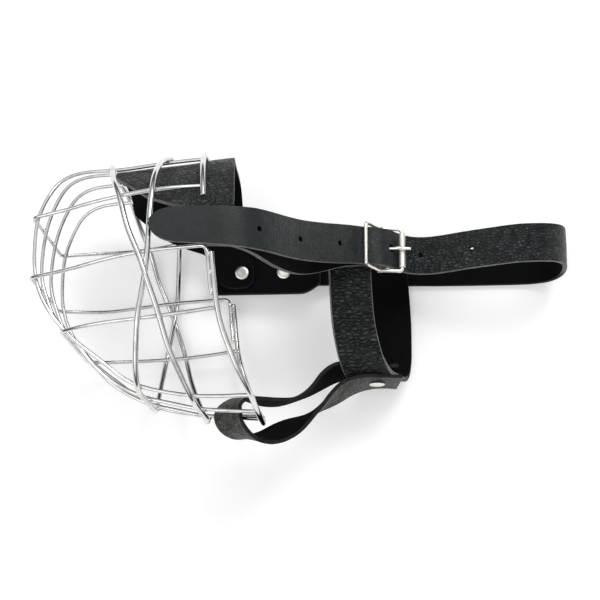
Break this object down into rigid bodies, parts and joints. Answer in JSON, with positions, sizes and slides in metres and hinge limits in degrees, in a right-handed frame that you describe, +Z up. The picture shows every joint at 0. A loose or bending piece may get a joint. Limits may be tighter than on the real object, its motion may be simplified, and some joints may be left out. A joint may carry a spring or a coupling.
{
  "type": "basket muzzle",
  "caption": "Wire basket dog muzzle lying on its side, with a leather nose saddle, cheek panels, throat and chin straps, and a buckled leather neck strap.",
  "frame": {"origin": "middle of the bounding box on the floor the muzzle lies on", "axes": "+X from the flat nose end to the neck loop, +Y from the chin to the bridge of the nose, +Z up from the floor; the muzzle lies on its left cheek"},
  "size_m": [0.2719, 0.1465, 0.1091],
  "materials": {
    "chrome_wire": "bright chrome plated steel wire, slightly dulled at the welds",
    "panel_leather": "black grained leather with lighter grey cut edges",
    "strap_leather": "black pebbled strap leather with grey cut edges, worn smooth near the tip",
    "soft_leather": "soft dark olive-grey leather with fine wrinkles",
    "buckle_steel": "nickel plated, rubbed",
    "nickel_rivet": "nickel plated rivet heads, dull"
  },
  "bodies": {
    "basket": {"long_wire_near_outer": "chrome_wire", "long_wire_near_inner": "chrome_wire", "long_wire_far_inner": "chrome_wire", "long_wire_far_outer": "chrome_wire", "nose_hoop_upper": "chrome_wire", "nose_hoop_middle": "chrome_wire", "nose_hoop_lower": "chrome_wire", "slant_hoop_front": "chrome_wire", "slant_hoop_rear": "chrome_wire", "rear_rim": "chrome_wire", "arch_bar": "chrome_wire", "nose_saddle": "panel_leather"},
    "collar": {"cheek_panel_near": "panel_leather", "cheek_panel_far": "panel_leather", "cheek_strap": "strap_leather", "neck_strap": "strap_leather", "throat_strap": "soft_leather", "chin_strap": "soft_leather", "pivot_rivets": "nickel_rivet", "rear_cheek_rivets": "nickel_rivet", "throat_rivets": "nickel_rivet", "chin_rivet": "nickel_rivet", "fold_rivet": "nickel_rivet"},
    "strap_tip": {"neck_strap_tip": "strap_leather"},
    "buckle": {"buckle_frame": "buckle_steel"},
    "roller": {"buckle_roller": "buckle_steel"},
    "tongue": {"buckle_tongue": "buckle_steel"}
  },
  "joints": [
    {"name": "collar_tilt", "type": "hinge", "parent": "basket", "child": "collar", "pos_m": [-0.03733, 0.0257, 0.05564], "axis": [-0.0659, 0, 0.9978], "range_deg": [-3, 3.5]},
    {"name": "tip_lift", "type": "hinge", "parent": "collar", "child": "strap_tip", "pos_m": [0.02735, 0.0312, 0.0487], "axis": [0, 1, 0], "range_deg": [0, 40]},
    {"name": "buckle_rock", "type": "hinge", "parent": "collar", "child": "buckle", "pos_m": [0.0374, 0.0318, 0.0384], "axis": [0, 1, 0], "range_deg": [-2.5, 2.5]},
    {"name": "roller_spin", "type": "hinge", "parent": "buckle", "child": "roller", "pos_m": [0.049, 0.0318, 0.0373], "axis": [0, 1, 0], "continuous": true},
    {"name": "tongue_lift", "type": "hinge", "parent": "buckle", "child": "tongue", "pos_m": [0.0374, 0.0318, 0.0384], "axis": [0, -1, 0], "range_deg": [0, 6]}
  ]
}
